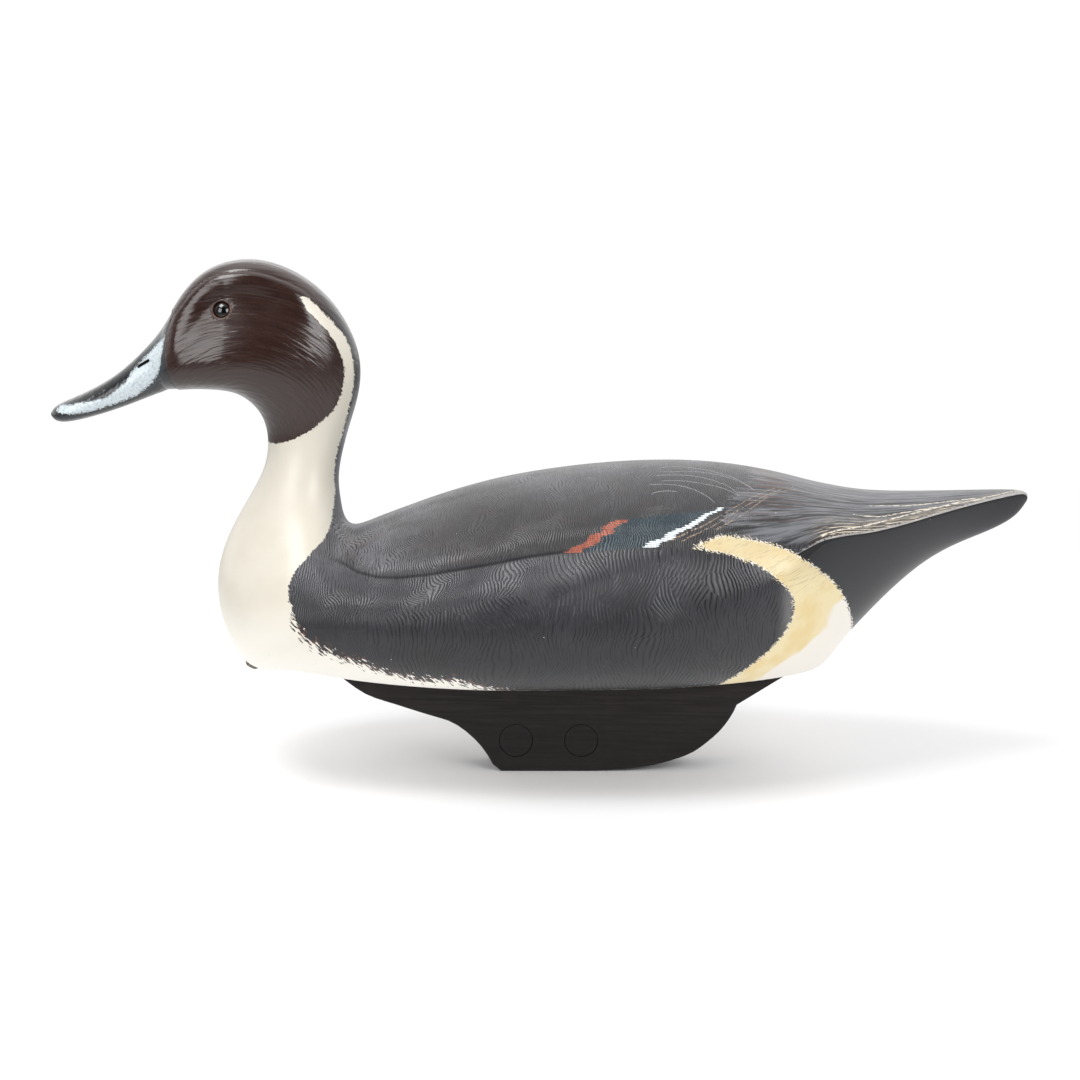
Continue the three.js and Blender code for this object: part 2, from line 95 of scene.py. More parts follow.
def fair(rows, position):
    """A fair curve along rows of values, read at positions between the rows."""
    rows = np.asarray(rows, float)
    longer = np.vstack([2 * rows[0] - rows[[2, 1]], rows, 2 * rows[-1] - rows[[-2, -3]]])
    pulls = longer[1:-1] - (longer[:-2] - 2 * longer[1:-1] + longer[2:]) / 6
    span = np.minimum(position.astype(int), len(rows) - 2)
    u = (position - span)[:, None]
    v = 1 - u
    shares = [v**3, 3 * u**3 - 6 * u**2 + 4, 3 * v**3 - 6 * v**2 + 4, u**3]
    return sum(share * pulls[span + k] for k, share in enumerate(shares)) / 6


def ease(value, low, high):
    """0 below low, 1 above high, and a soft climb between them."""
    t = np.clip((value - low) / (high - low), 0, 1)
    return t * t * (3 - 2 * t)


def bump_over(distance, reach):
    """A round hill, 1 at distance 0 and nearly gone beyond its reach."""
    return np.exp(-((distance / reach) ** 2))


# How far apart the rings stand, in millimetres, at these stations; closest where the bill meets
# the face
RING_STEPS = [
    (0, 0.55), (3, 2), (17, 2.1), (22, 1.4), (24, 0.95), (25.5, 0.6), (27, 0.6), (28.5, 0.85),
    (29.5, 0.32), (31, 0.32), (32, 0.43), (33, 0.8), (36, 0.8), (37, 0.35),
]
dense = np.linspace(0, len(STATIONS) - 1, 6000)
ends = fair(STATIONS, dense)[:, :4]
moved = np.abs(np.diff(ends, axis=0))
travel = np.maximum(np.hypot(moved[:, 0], moved[:, 1]), np.hypot(moved[:, 2], moved[:, 3]))
pace = np.interp(dense[1:], *np.transpose(RING_STEPS))
run = np.append(0, np.cumsum(travel / pace))
rings = np.interp(np.linspace(0, run[-1], round(run[-1]) + 1), run, dense)
lines = fair(STATIONS, rings)


def section(turn):
    """Points x, out, z on every ring, at turns from 0 at its top to pi at its foot."""
    top_x, top_z, foot_x, foot_z, half, beam, crown, edge, belly, low_edge, bow = lines.T[..., None]
    out = np.clip(np.sin(turn), 0, 1)
    above = (1 - out**crown) ** (1 / edge) * (1 - beam) + beam
    below = beam - (1 - out**belly) ** (1 / low_edge) * beam
    rise = np.where(turn <= math.pi / 2, above, below)
    height = np.hypot(top_x - foot_x, top_z - foot_z)
    lean_x, lean_z = (top_x - foot_x) / height, (top_z - foot_z) / height
    lead = bow * out**2
    x = foot_x + lean_x * rise * height - lean_z * lead
    z = foot_z + lean_z * rise * height + lean_x * lead
    return np.stack([x, half * out, z], axis=-1)


def planed(points):
    """The bottom planed flat: what would lie under it is lifted, with a soft corner."""
    flat = points.copy()
    over = points[..., 2] - HULL_BOTTOM
    flat[..., 2] = HULL_BOTTOM + (over + np.hypot(over, BOTTOM_EASE)) / 2
    return flat


# Soft hollows along a line x, z seen from the side: depth, reach above and below the line, and
# the x between which each fades in and out
POCKET_TOP = [
    (-111, 119), (-102, 115), (-93, 111.5), (-79, 109), (-61, 110), (-39, 113.5), (-6, 121),
    (29, 125), (60, 125.5),
]
WING_VALLEY = [
    (-113, 115.5), (-100, 118.5), (-82, 120), (-57, 124.5), (-28, 130.5), (-1, 135.5),
    (29, 139),
]
EYE_CHANNEL = [(-187, 220.5), (-176, 226.5), (-153, 236.5), (-126, 237.5), (-101, 227.5)]
HOLLOWS = [
    (POCKET_TOP, 3.4, 5, 9, (-110, -86, 0, 60)),
    (WING_VALLEY, 2, 10, 9, (-112, -84, -40, 30)),
    (EYE_CHANNEL, 3.6, 9, 15, (-182, -158, -136, -104)),
]


def hollow_depth(points):
    x, out, z = np.moveaxis(points, -1, 0)
    total = np.zeros_like(x)
    for line, depth, above, below, (start, full, wane, stop) in HOLLOWS:
        strength = ease(x, start, full) * (1 - ease(x, wane, stop)) * ease(out, 4, 14)
        rise = z - np.interp(x, *np.transpose(line))
        total += depth * strength * bump_over(rise, np.where(rise > 0, above, below))
    return total


# The knife cut along the top of the side pocket
CUT_LINE = [
    (-110, 116.5), (-103, 114), (-94.9, 111.5), (-88.7, 109.3), (-79.2, 108.5), (-67.5, 109),
    (-54, 111), (-39.7, 113.8), (-25.6, 116.4), (-6.7, 120.2), (11.7, 122.8), (40, 125),
    (71, 125.4),
]
CUT_DEPTH = 0.6
CUT_REACH = 0.85


def above_cut(points):
    return points[..., 2] - np.interp(points[..., 0], *np.transpose(CUT_LINE))


# The eye sockets, the nostril slots as a line between two ends, and the step down to the bill
EYE = np.array([-154.2, 16.8, 232.5])
EYE_LOOK = np.array([-0.146, 0.922, 0.358])
NOSTRIL = np.array([(-195.8, 203.3), (-191, 206.4)])
NOSTRIL_WIDTH = 1.5
NOSTRIL_DEPTH = 1.2
SOCKET_RADIUS, SOCKET_DEPTH = 4.1, 4
BILL_STEP = 0.5


def from_eye(points):
    """How far points are from the eye's own axis."""
    away = points - EYE
    away = away - (away @ EYE_LOOK)[..., None] * EYE_LOOK
    return np.linalg.norm(away, axis=-1) + (points[..., 1] < 0) * 99


def from_nostril(points):
    """How far points are from the slot's middle line, seen from the side."""
    place = points[..., [0, 2]]
    span = NOSTRIL[1] - NOSTRIL[0]
    along = np.clip((place - NOSTRIL[0]) @ span / (span @ span), 0, 1)
    return np.linalg.norm(place - NOSTRIL[0] - along[..., None] * span, axis=-1)


# The brow: a crisp arris from the bill over the eye to the stripe, where the crown meets the face
BROW_LINE = [
    (-183, 216), (-180.4, 223.5), (-178.1, 228.9), (-174.2, 233.9), (-170.5, 238.6),
    (-166.6, 242.6), (-162.2, 246), (-157.2, 248.4), (-152.2, 249.6), (-145.9, 250.2),
    (-139.8, 250.2), (-133.6, 249.1), (-127.4, 246.9), (-122.5, 245), (-117.6, 242.7),
    (-112.8, 239.6), (-109.7, 236.9), (-104, 231),
]
BROW_HEIGHT, BROW_ROLL = 1.1, 2.6


def above_brow(points):
    """Distance from the brow line seen from the side, less than 0 on the face."""
    line = fair(BROW_LINE, np.linspace(0, len(BROW_LINE) - 1, 70))
    gaps = points[..., None, [0, 2]] - line
    far_off = np.hypot(gaps[..., 0], gaps[..., 1])
    nearest = far_off.argmin(axis=-1)
    heading = np.gradient(line, axis=0)[nearest]
    gap = np.take_along_axis(gaps, nearest[..., None, None], axis=-2)[..., 0, :]
    side = np.sign(gap[..., 1] * heading[..., 0] - gap[..., 0] * heading[..., 1])
    return far_off.min(axis=-1) * side


# The points of each ring are spread along its skin, above and below its widest place, and are
# closer together where there is carving to show
ROUND_QUARTER = 43
QUARTER_STEPS = 200
HEAD_START = -96
turn = np.linspace(0, math.pi, 2 * QUARTER_STEPS + 1)
outline = planed(section(turn[None]))
step = np.linalg.norm(np.diff(outline, axis=1), axis=-1)
mid = (outline[:, 1:] + outline[:, :-1]) / 2
crowd = 1 + 0.15 * hollow_depth(mid)
along_cut = ease(mid[..., 0], -115, -95) * (1 - ease(mid[..., 0], 10, 40))
crowd += 4 * bump_over(above_cut(mid), 2.2) * along_cut
crowd += 1.6 * bump_over(from_eye(mid), 7)
crowd += 1.5 * bump_over(from_nostril(mid), 3)
head_rings = lines[:, 0] < HEAD_START
along_brow = above_brow(mid[head_rings])
crowd[head_rings] += 2.5 * bump_over(along_brow, 2) * ease(mid[head_rings][..., 1], 2, 5)
quarters = []
for first in (0, QUARTER_STEPS):
    last = first + QUARTER_STEPS
    walked = np.cumsum(step[:, first:last] * crowd[:, first:last], axis=1)
    walked = np.hstack([np.zeros((len(rings), 1)), walked])
    shares = np.linspace(0, 1, ROUND_QUARTER + 1)
    quarters.append([np.interp(shares * w[-1], w, turn[first:last + 1]) for w in walked])
upper, lower = np.array(quarters)
turns = np.hstack([upper, lower[:, 1:]])
raw = section(turns)
skin = planed(raw)
girth = np.cumsum(np.linalg.norm(np.diff(skin, axis=1, prepend=skin[:, :1]), axis=-1), axis=1)

# The hollows are pressed in square to each ring's outline
slope = np.gradient(skin, axis=1)
slope = np.stack([slope[..., 1], np.hypot(slope[..., 0], slope[..., 2])])
slope /= np.linalg.norm(slope, axis=0) + 1e-9
pressed = hollow_depth(skin)
skin[..., 1] -= pressed * slope[1]
skin[..., 2] -= pressed * slope[0]


def inside(points, outline):
    """Distance in from a closed outline x, z, seen from the side; less than 0 outside it."""
    corners = np.asarray(outline, float)
    px, pz = points[..., 0, None], points[..., 2, None]
    ax, az = corners.T
    bx, bz = np.roll(corners, -1, axis=0).T
    dx, dz = bx - ax, bz - az
    along = np.clip(((px - ax) * dx + (pz - az) * dz) / (dx**2 + dz**2 + 1e-9), 0, 1)
    gap = np.hypot(px - ax - along * dx, pz - az - along * dz).min(axis=-1)
    crossing = ax + (pz - az) * dx / np.where(bz == az, 1, dz)
    crossed = ((az > pz) != (bz > pz)) & (px < crossing)
    return np.where(crossed.sum(axis=-1) % 2 == 1, gap, -gap)


def smooth(line, cuts=4):
    """A painted line through the given points, as a fair curve of more points."""
    return fair(line, np.linspace(0, len(line) - 1, (len(line) - 1) * cuts + 1))


# Where the painter's outlines run, x and z seen from the side. The cream and the bill run out past
# the bird where they have no edge.
STRIPE_TIP = (-116.3, 238.3)
FACE_EDGE = [
    STRIPE_TIP, (-112.9, 231.8), (-108, 227.3), (-102.7, 221.3), (-99.4, 215.8), (-96.1, 207.9),
    (-95.2, 199.8), (-96.7, 192.1), (-99.7, 184.2), (-105.2, 178.9), (-111.9, 173.3),
    (-118.8, 169.5), (-125.8, 166.5), (-132.6, 165.1), (-145, 164),
]
BACK_EDGE = [
    STRIPE_TIP, (-113, 237.9), (-105.9, 231.2), (-99.4, 224.1), (-94, 215.9), (-91.3, 206.8),
    (-90.9, 197.8), (-91.5, 192.3), (-93.9, 180.9), (-98, 165.9), (-99.7, 160.4),
    (-101.2, 147.8), (-100.4, 142.8), (-101.4, 133.9), (-102.4, 127.7), (-104.8, 122.6),
    (-109.4, 119.3), (-112.8, 115.4), (-116.9, 111.4), (-120.5, 105.3), (-120.8, 99.5),
    (-119.7, 92.9), (-115.8, 85.1), (-110.3, 79.5), (-102.6, 74.9), (-93.4, 71.1),
    (-83.9, 68.2), (-74.7, 63.9), (-65.3, 62), (-56, 59.9), (-44.7, 60.6), (-35.2, 58.6),
    (-25.9, 55.2), (-12, 51.4), (-8, 40),
]
CREAM = [*smooth(BACK_EDGE), (-8, 20), (-270, 20), (-270, 150), *smooth(FACE_EDGE)[::-1]]
CRESCENT_INSIDE = [
    (71.7, 125.2), (86.2, 122.6), (97.5, 118.8), (106.3, 114.9), (114, 108.3), (120, 101.2),
    (121.5, 92.8), (119.8, 86), (114.9, 78.3), (107.5, 70.2), (98.9, 62.8), (90.1, 55.7),
    (84, 50), (82, 40),
]
CRESCENT_OUTSIDE = [
    (71.7, 125.6), (77.4, 127.4), (85.2, 129.6), (92.6, 129.3), (104.2, 127), (115, 123.8),
    (124, 119.6), (133.6, 112.3), (141.6, 103.8), (146.8, 96.4), (150.3, 87.3), (153.6, 75.2),
    (155, 60), (155, 40),
]
CRESCENT = [*smooth(CRESCENT_OUTSIDE), *smooth(CRESCENT_INSIDE)[::-1]]
BILL_BASE = [
    (-178.4, 230), (-179.8, 225.8), (-181.7, 218.8), (-182.1, 212.5), (-181.6, 205.9),
    (-179.6, 199.3), (-177.4, 194), (-176, 190), (-174, 184),
]
BILL = [*smooth(BILL_BASE), (-260, 150), (-260, 240)]
BILL_PATCH = [
    (-182.9, 219.5), (-183.2, 217.8), (-188.1, 213.1), (-191.6, 208.5), (-198.6, 201.5),
    (-201.1, 196.7), (-206.8, 191.6), (-212.5, 187.6), (-220.9, 186), (-228.6, 184.3),
    (-234, 183.4), (-236.6, 181.2), (-232, 180.1), (-223.4, 180.6), (-215, 182.5),
    (-207, 185.2), (-200, 187.9), (-194.9, 190.6), (-188.5, 196.5), (-186.1, 201),
    (-184.9, 205.6), (-184.1, 211), (-182.6, 217.3), (-182.9, 219.5),
]
WING_MIRROR = [
    (12, 122.4), (27, 129.6), (41.4, 136.7), (57.2, 138.2), (72.3, 139.5), (86.2, 140.3),
    (68, 133.3), (49.4, 125.6), (33.2, 124.3), (19.2, 122.6),
]
up_or_down = np.where(turns <= math.pi / 2, 1, -1)
coverage = {
    "cream": inside(skin, CREAM),
    "crescent": inside(skin, CRESCENT),
    "bill": inside(skin, BILL),
    "bill_patch": inside(skin, smooth(BILL_PATCH)),
    "wing_mirror": inside(skin, WING_MIRROR),
    "nostril": from_nostril(skin),
    "above_cut": above_cut(skin),
    "above_bottom": raw[..., 2] - HULL_BOTTOM,
    "above_arris": up_or_down * np.abs(girth - girth[:, [ROUND_QUARTER]]),
    "girth": girth,
}

# The far side is the near one mirrored, and its last point falls on its first again
near = skin * (1, -1, 1)
rows = np.hstack([near, skin[:, -2::-1]])
around = rows.shape[1] - 1
wrapped = rows[:, :-1]
across = np.roll(wrapped, -1, axis=1) - np.roll(wrapped, 1, axis=1)
normal = np.cross(np.gradient(wrapped, axis=0), across)
normal /= np.linalg.norm(normal, axis=-1, keepdims=True) + 1e-12
normal = np.hstack([normal, normal[:, :1]])

# Knife cut, step at the bill, nostrils and sockets go in square to the skin
mirrored = np.abs(rows * (0, 1, 0)) + rows * (1, 0, 1)


def both(values):
    return np.hstack([values, values[:, -2::-1]])


brow = above_brow(rows[head_rings])
below_roll = np.clip((-brow - BROW_ROLL) / 9, 0, 1)
ridge = np.where(brow < -BROW_ROLL, (1 - below_roll ** 2) ** 2, 1 - (brow / BROW_ROLL + 1) ** 2)
ridge = np.where(brow < 0, ridge, 0) - 0.12 * bump_over(brow, 0.7)
head_x = rows[head_rings][..., 0]
ridge *= ease(head_x, -183, -176) * (1 - ease(head_x, -120, -106))
ridge *= ease(mirrored[head_rings][..., 1], 3, 7)
cut = CUT_DEPTH * bump_over(both(coverage["above_cut"]), CUT_REACH)
cut *= ease(rows[..., 0], -108, -88) * (1 - ease(rows[..., 0], 4, 14))
cut[head_rings] -= BROW_HEIGHT * ridge
onto_bill = both(coverage["bill"])
cut += BILL_STEP * ease(onto_bill, -0.1, 0.35) * (1 - ease(onto_bill, 3, 16))
cut += NOSTRIL_DEPTH * (1 - ease(from_nostril(rows), NOSTRIL_WIDTH * 0.2, NOSTRIL_WIDTH * 0.5))
cut += SOCKET_DEPTH * (1 - ease(from_eye(mirrored), SOCKET_RADIUS, SOCKET_RADIUS + 0.7))
rows = rows - normal * cut[..., None]


def pick_open_rims():
    """Picks the open edges of the shell being edited."""
    bpy.ops.mesh.select_all(action="DESELECT")
    bpy.ops.mesh.select_mode(type="EDGE")
    bpy.ops.mesh.select_non_manifold()


def close_up(smooth_deg):
    """Fills the picked rims, turns the shell right side out and leaves it smooth."""
    bpy.ops.mesh.edge_face_add()
    bpy.ops.mesh.select_all(action="SELECT")
    bpy.ops.mesh.normals_make_consistent(inside=False)
    bpy.ops.object.mode_set(mode="OBJECT")
    bpy.ops.object.shade_smooth_by_angle(angle=math.radians(smooth_deg))


bpy.ops.mesh.primitive_grid_add(x_subdivisions=around, y_subdivisions=len(rings) - 1, size=1)
duck = bpy.context.object
duck.name = "carved_bird"
duck.data.vertices.foreach_set("co", (rows * MM).ravel())
for name, values in coverage.items():
    layer = duck.data.attributes.new(name, "FLOAT", "POINT")
    layer.data.foreach_set("value", both(values).astype(np.float32).ravel())
bpy.ops.object.mode_set(mode="EDIT")
bpy.ops.mesh.select_all(action="SELECT")
bpy.ops.mesh.remove_doubles(threshold=1e-6)
pick_open_rims()
close_up(smooth_deg=35)
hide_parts("carved_duck")
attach(duck, "root")


def tint(code):
    """A colour named by its six hex digits, in the values that a shader takes."""
    parts = [int(code[i:i + 2], 16) / 255 for i in (0, 2, 4)]
    return (*[p / 12.92 if p < 0.04045 else ((p + 0.055) / 1.055) ** 2.4 for p in parts], 1)


class Paintbox:
    """Lays shader nodes out in one material or group, and joins them up."""

    def __init__(self, tree):
        self.tree = tree

    def put(self, kind, inputs=None, **settings):
        node = self.tree.nodes.new(kind if kind.startswith("Node") else "ShaderNode" + kind)
        for name, value in settings.items():
            setattr(node, name, value)
        return self.feed(node, inputs or {})

    def feed(self, node, inputs):
        """Joins other nodes to a node's inputs by name, or sets them to plain values."""
        for name, value in inputs.items():
            if isinstance(value, bpy.types.NodeSocket):
                self.tree.links.new(value, node.inputs[name])
            else:
                node.inputs[name].default_value = value
        return node

    def use(self, group, **inputs):
        return self.put("Group", inputs, node_tree=group).outputs

    def calc(self, how, *values):
        return self.put("Math", dict(enumerate(values)), operation=how).outputs[0]

    def fold(self, how, values):
        total = values[0]
        for value in values[1:]:
            total = self.calc(how, total, value)
        return total

    def plus(self, *values):
        return self.fold("ADD", values)

    def times(self, *values):
        return self.fold("MULTIPLY", values)

    def most(self, *values):
        return self.fold("MAXIMUM", values)

    def less(self, value, taken):
        return self.calc("SUBTRACT", value, taken)

    def sway(self, value, grain, amount):
        """A value that a grain shifts up and down, by half the amount at most."""
        return self.calc("MULTIPLY_ADD", self.less(grain, 0.5), amount, value)

    def blend(self, share, value, other):
        return self.put("Mix", {0: share, 2: value, 3: other}, data_type="FLOAT").outputs[0]

    def climb(self, value, low, high, start=0, end=1):
        """start below low, end above high, and a soft climb between them."""
        limits = {"Value": value, "From Min": low, "From Max": high, "To Min": start, "To Max": end}
        return self.put("MapRange", limits, interpolation_type="SMOOTHSTEP").outputs["Result"]

    def ramp(self, value, low, high):
        """0 at low and 1 at high, straight between them."""
        limits = {"Value": value, "From Min": low, "From Max": high}
        return self.put("MapRange", limits).outputs["Result"]

    def hill(self, value, middle, reach, top=0):
        """1 at the middle, or on a top round it, and 0 beyond the reach on either side."""
        return self.climb(self.calc("ABSOLUTE", self.less(value, middle)), reach, top)

    def cover(self, share, under, over):
        """One colour laid over another where its mask says."""
        under, over = [tint(color) if isinstance(color, str) else color for color in (under, over)]
        return self.put("Mix", {0: share, 6: under, 7: over}, data_type="RGBA").outputs[2]

    def coats(self, color, *layers):
        """Colours laid over a first one in turn, each with its mask before it."""
        for share, over in layers:
            color = self.cover(share, color, over)
        return color

    def bump(self, height):
        """Relief for a shader, from heights in millimetres."""
        return self.put("Bump", {"Strength": 1, "Distance": MM, "Height": height}).outputs[0]

    def grain(self, vector, scale=1, detail=2, rough=0.5):
        return self.put(
            "TexNoise", {"Vector": vector, "Scale": scale, "Detail": detail, "Roughness": rough}
        ).outputs["Fac"]

    def vector(self, x, y, z=0):
        return self.put("CombineXYZ", {"X": x, "Y": y, "Z": z}).outputs[0]

    def split(self, vector):
        return self.put("SeparateXYZ", {0: vector}).outputs

    def millimetres(self):
        """Where on the bird the paint lies, in millimetres."""
        place = self.put("TexCoord").outputs["Object"]
        return self.put("VectorMath", {0: place, "Scale": 1 / MM}, operation="SCALE").outputs[0]

    def strokes(self, vector, lean, length, width):
        """Places for brush strokes that run along X, leant down by some degrees."""
        lean, size = (0, math.radians(lean), 0), (length, width, width)
        inputs = {"Vector": vector, "Rotation": lean, "Scale": size}
        return self.put("Mapping", inputs, vector_type="TEXTURE").outputs[0]


def new_material(name):
    """A new material, a paintbox for its nodes, and its shader."""
    material = bpy.data.materials.new(name)
    material.use_nodes = True
    return material, Paintbox(material.node_tree), material.node_tree.nodes["Principled BSDF"]


def effect(name, takes, gives):
    """A new node group with a paintbox for its inside, its inputs and its outputs."""
    group = bpy.data.node_groups.new(name, "ShaderNodeTree")
    for label, kind in takes.items():
        group.interface.new_socket(name=label, in_out="INPUT", socket_type="NodeSocket" + kind)
    for label in gives:
        group.interface.new_socket(name=label, in_out="OUTPUT", socket_type="NodeSocketFloat")
    box = Paintbox(group)
    return group, box, box.put("NodeGroupInput").outputs


# A hand-brushed edge: the mask is 1 well inside a distance and breaks into strokes at the edge
brushed_edge, box, given = effect(
    "brushed_edge", {"Distance": "Float", "Strokes": "Vector", "Reach": "Float"}, ["Mask"]
)
ragged = box.less(box.grain(given["Strokes"], 1, 2, 0.6), 0.5)
ragged = box.calc("MULTIPLY_ADD", box.times(ragged, given["Reach"]), 5, given["Distance"])
box.put("NodeGroupOutput", {"Mask": box.climb(ragged, -0.12, 0.12)})

# Paint that was combed while wet: runs of fine parallel lines that wander, lean and break off
combed_paint, box, given = effect(
    "combed_paint", {"Skin": "Vector", "Spacing": "Float", "Wander": "Float"}, ["Line", "Relief"]
)
spaced = [box.calc("DIVIDE", value, given["Spacing"]) for value in box.split(given["Skin"])]
even = box.vector(*spaced)
broad = box.put("Mapping", {"Vector": even, "Scale": (0.06, 0.085, 0.1)}).outputs[0]
drift = box.less(box.grain(broad, 1, 0.4), 0.5)
patch_place = box.put("Mapping", {"Vector": even, "Scale": (0.1, 0.12, 0.12)}).outputs[0]
patch = box.put("TexVoronoi", {"Vector": patch_place, "Scale": 1, "Randomness": 0.9}, feature="F1")
luck = box.split(patch.outputs["Color"])
offset = {0: patch_place, 1: patch.outputs["Position"]}
patch_down = box.split(box.put("VectorMath", offset, operation="SUBTRACT").outputs[0])[1]
lean = box.times(box.less(luck[1], 0.5), patch_down)
phase = box.plus(
    box.split(even)[0], box.times(drift, given["Wander"]), box.times(lean, given["Wander"], 0.7),
    box.times(luck[0], 0.6), box.times(box.grain(even, 0.45, 0), 0.35),
)
saw = box.calc("ABSOLUTE", box.less(box.calc("FRACT", phase), 0.5))
breaks = box.put("Mapping", {"Vector": even, "Scale": (0.9, 0.2, 0.3)}).outputs[0]
press = box.grain(breaks, 1, 2, 0.6)
line = box.climb(box.less(saw, box.climb(press, 0.3, 0.62, -0.04, 0.17)), 0.075, -0.03)
swell = box.less(1, box.times(saw, 2))
swell = box.calc("MULTIPLY_ADD", box.times(swell, swell), -0.8, box.times(press, 0.5))
box.put("NodeGroupOutput", {"Line": line, "Relief": box.calc("MULTIPLY_ADD", line, -0.4, swell)})

# A thin line drawn with the tip of a brush: it shakes a little and runs dry in places
takes = dict.fromkeys(["Distance", "Width", "Shake", "Dryness"], "Float")
thin_line, box, given = effect("thin_line", takes, ["Mask"])
away = box.calc("ABSOLUTE", box.sway(given["Distance"], given["Shake"], 0.8))
line = box.climb(box.less(away, box.times(given["Width"], 0.5)), 0.12, -0.12)
box.put("NodeGroupOutput", {"Mask": box.times(line, box.climb(given["Dryness"], -0.05, 0.06))})

# The marks of a stiff brush: long soft ridges along its strokes
brush_marks, box, given = effect("brush_marks", {"Strokes": "Vector"}, ["Light", "Relief"])
fine = box.grain(given["Strokes"], 1, 3, 0.65)
wide = box.grain(given["Strokes"], 0.27, 2, 0.5)
box.put("NodeGroupOutput", {
    "Light": box.plus(box.times(fine, 0.6), box.times(wide, 0.4)),
    "Relief": box.grain(given["Strokes"], 0.62, 1, 0.4),
})


# --------------------------------------------------------------------------------
# Its paint: satin artist's oils over a primer, brushed on and combed while wet. Brown head, cream
# neck and breast, grey back and side pockets, black under the tail, and a buff crescent.

oils, oil, gloss = new_material("bird_oils")
duck.data.materials.append(oils)

place = oil.millimetres()
x, y, z = oil.split(place)
far = oil.calc("ABSOLUTE", y)


def painted(name):
    return oil.put("Attribute", attribute_name=name).outputs["Fac"]


def edge(distance, strokes, reach):
    return oil.use(brushed_edge, Distance=distance, Strokes=strokes, Reach=reach)[0]


from_cut, from_arris = painted("above_cut"), painted("above_arris")
in_bill, in_patch = painted("bill"), painted("bill_patch")
in_cream, in_crescent = painted("cream"), painted("crescent")
skin_place = oil.vector(x, painted("girth"), oil.times(y, 0.15))
side_place = oil.vector(x, oil.times(y, 0.2), z)
cloudy = oil.grain(place, 0.035, 3)
speckled = oil.grain(place, 0.9, 3, 0.65)

# Side pockets: mid grey, combed downwards with a dark glaze. The comb is finer over the shoulder
# and along the knife cut. The shoulder is painted a paler grey, a painted sheen where the lamps
# catch it, and the grey is painted darker towards the bottom, a painted shade.
flank_comb = oil.use(combed_paint, Skin=skin_place, Spacing=2, Wander=9)
back_comb = oil.use(combed_paint, Skin=skin_place, Spacing=1.2, Wander=11)
on_shoulder = oil.climb(oil.sway(x, cloudy, 60), -70, -92)
below_cut = oil.climb(oil.sway(from_cut, cloudy, 30), -17, -9)
below_cut = oil.times(below_cut, oil.climb(x, 30, -20))
on_shoulder = oil.most(on_shoulder, below_cut)
flank_lines = oil.blend(on_shoulder, flank_comb["Line"], oil.times(back_comb["Line"], 0.6))
flank = oil.coats(
    "2d2d32",
    (oil.climb(cloudy, 0.35, 0.65), "37373d"),
    # painted shade: the grey is darker towards the bottom
    (oil.climb(z, 118, 74, 0, 0.75), "1f1f23"),
    # painted sheen: the shoulder is paler where the lamps catch it
    (oil.times(oil.climb(x, -66, -88), oil.climb(z, 96, 114), 0.6), "55555b"),
    (flank_lines, "08090b"),
)

# Back: the finer comb all over, browner over the shoulders and darker along the wings and behind
low_wing = oil.times(oil.climb(z, 156, 136), oil.climb(x, -90, -20))
brown_haze = oil.climb(oil.grain(place, 0.06, 3, 0.6), 0.48, 0.62)
brown_haze = oil.times(brown_haze, oil.climb(x, -110, -60, 1, 0.5))
back = oil.coats(
    "58585c",
    (oil.climb(cloudy, 0.35, 0.65), "6b6b70"),
    (oil.times(low_wing, 0.85), "2a2727"),
    (oil.climb(x, -20, 60, 0, 0.65), "242428"),
    (oil.times(back_comb["Line"], 0.9), "131417"),
    (oil.times(brown_haze, 0.4), "3a2a25"),
)

on_back = oil.climb(from_cut, -1.6, 0.6)
paint = oil.cover(on_back, flank, back)
# Painted shade along the knife cut: darkest in the cut itself, and softer just above it, where the
# wing rounds down into it
near_cut = oil.times(oil.climb(x, -108, -90), oil.climb(x, 24, 6))
cut_shade = oil.times(near_cut, oil.hill(from_cut, 0.2, 1.3, 0.1))
paint = oil.cover(oil.times(cut_shade, 0.7), paint, "101114")
shade_over_cut = oil.times(near_cut, oil.climb(from_cut, -0.5, 0.5), oil.climb(from_cut, 5, 1))
paint = oil.cover(oil.times(shade_over_cut, 0.55), paint, "26262a")

# Rump and top of the tail: dark, streaked towards the tip, with reddish brown behind the wings
TAIL_FAN = 262  # where the streaks would meet behind the tail
spread = oil.calc("DIVIDE", y, oil.most(oil.less(TAIL_FAN, x), 8))
tail_place = oil.vector(oil.times(x, 0.05), oil.times(spread, 95), 0)
tail_marks = oil.use(brush_marks, Strokes=tail_place)
reddish = oil.times(
    oil.climb(tail_marks["Relief"], 0.48, 0.6), oil.hill(x, 112, 26), oil.climb(far, 50, 40)
)
rump = oil.cover(oil.climb(tail_marks["Light"], 0.4, 0.6), "18181b", "6c6d72")
rump = oil.cover(oil.times(reddish, 0.8), rump, "4a302a")
rump_front = oil.climb(far, 10, 50, 104, 88)
on_rump = edge(oil.less(x, rump_front), oil.strokes(place, 0, 9, 1.5), 5)
paint = oil.cover(oil.times(on_rump, on_back), paint, rump)

# Tail feathers: a brown mottled patch, then buff streaks that close up along the edges. A pale
# band along each edge is a painted highlight; at the tip it widens into pale chips where the paint
# has worn.
lift = oil.climb(x, 146, 104, 0.2, 10.5)
over_arris = oil.less(from_arris, lift)
on_upper_tail = oil.climb(over_arris, -0.2, 0.2)
streak_place = oil.vector(oil.times(x, 0.09), oil.times(spread, 210))
streaks = oil.grain(streak_place, 1, 2, 0.6)
near_edge = oil.climb(over_arris, oil.climb(x, 130, 200, 20, 9), 1)
mottled = oil.times(near_edge, oil.climb(x, 124, 140), oil.climb(x, 214, 196))
streaks = oil.times(oil.climb(streaks, 0.52, 0.6), near_edge, oil.climb(x, 127, 140))
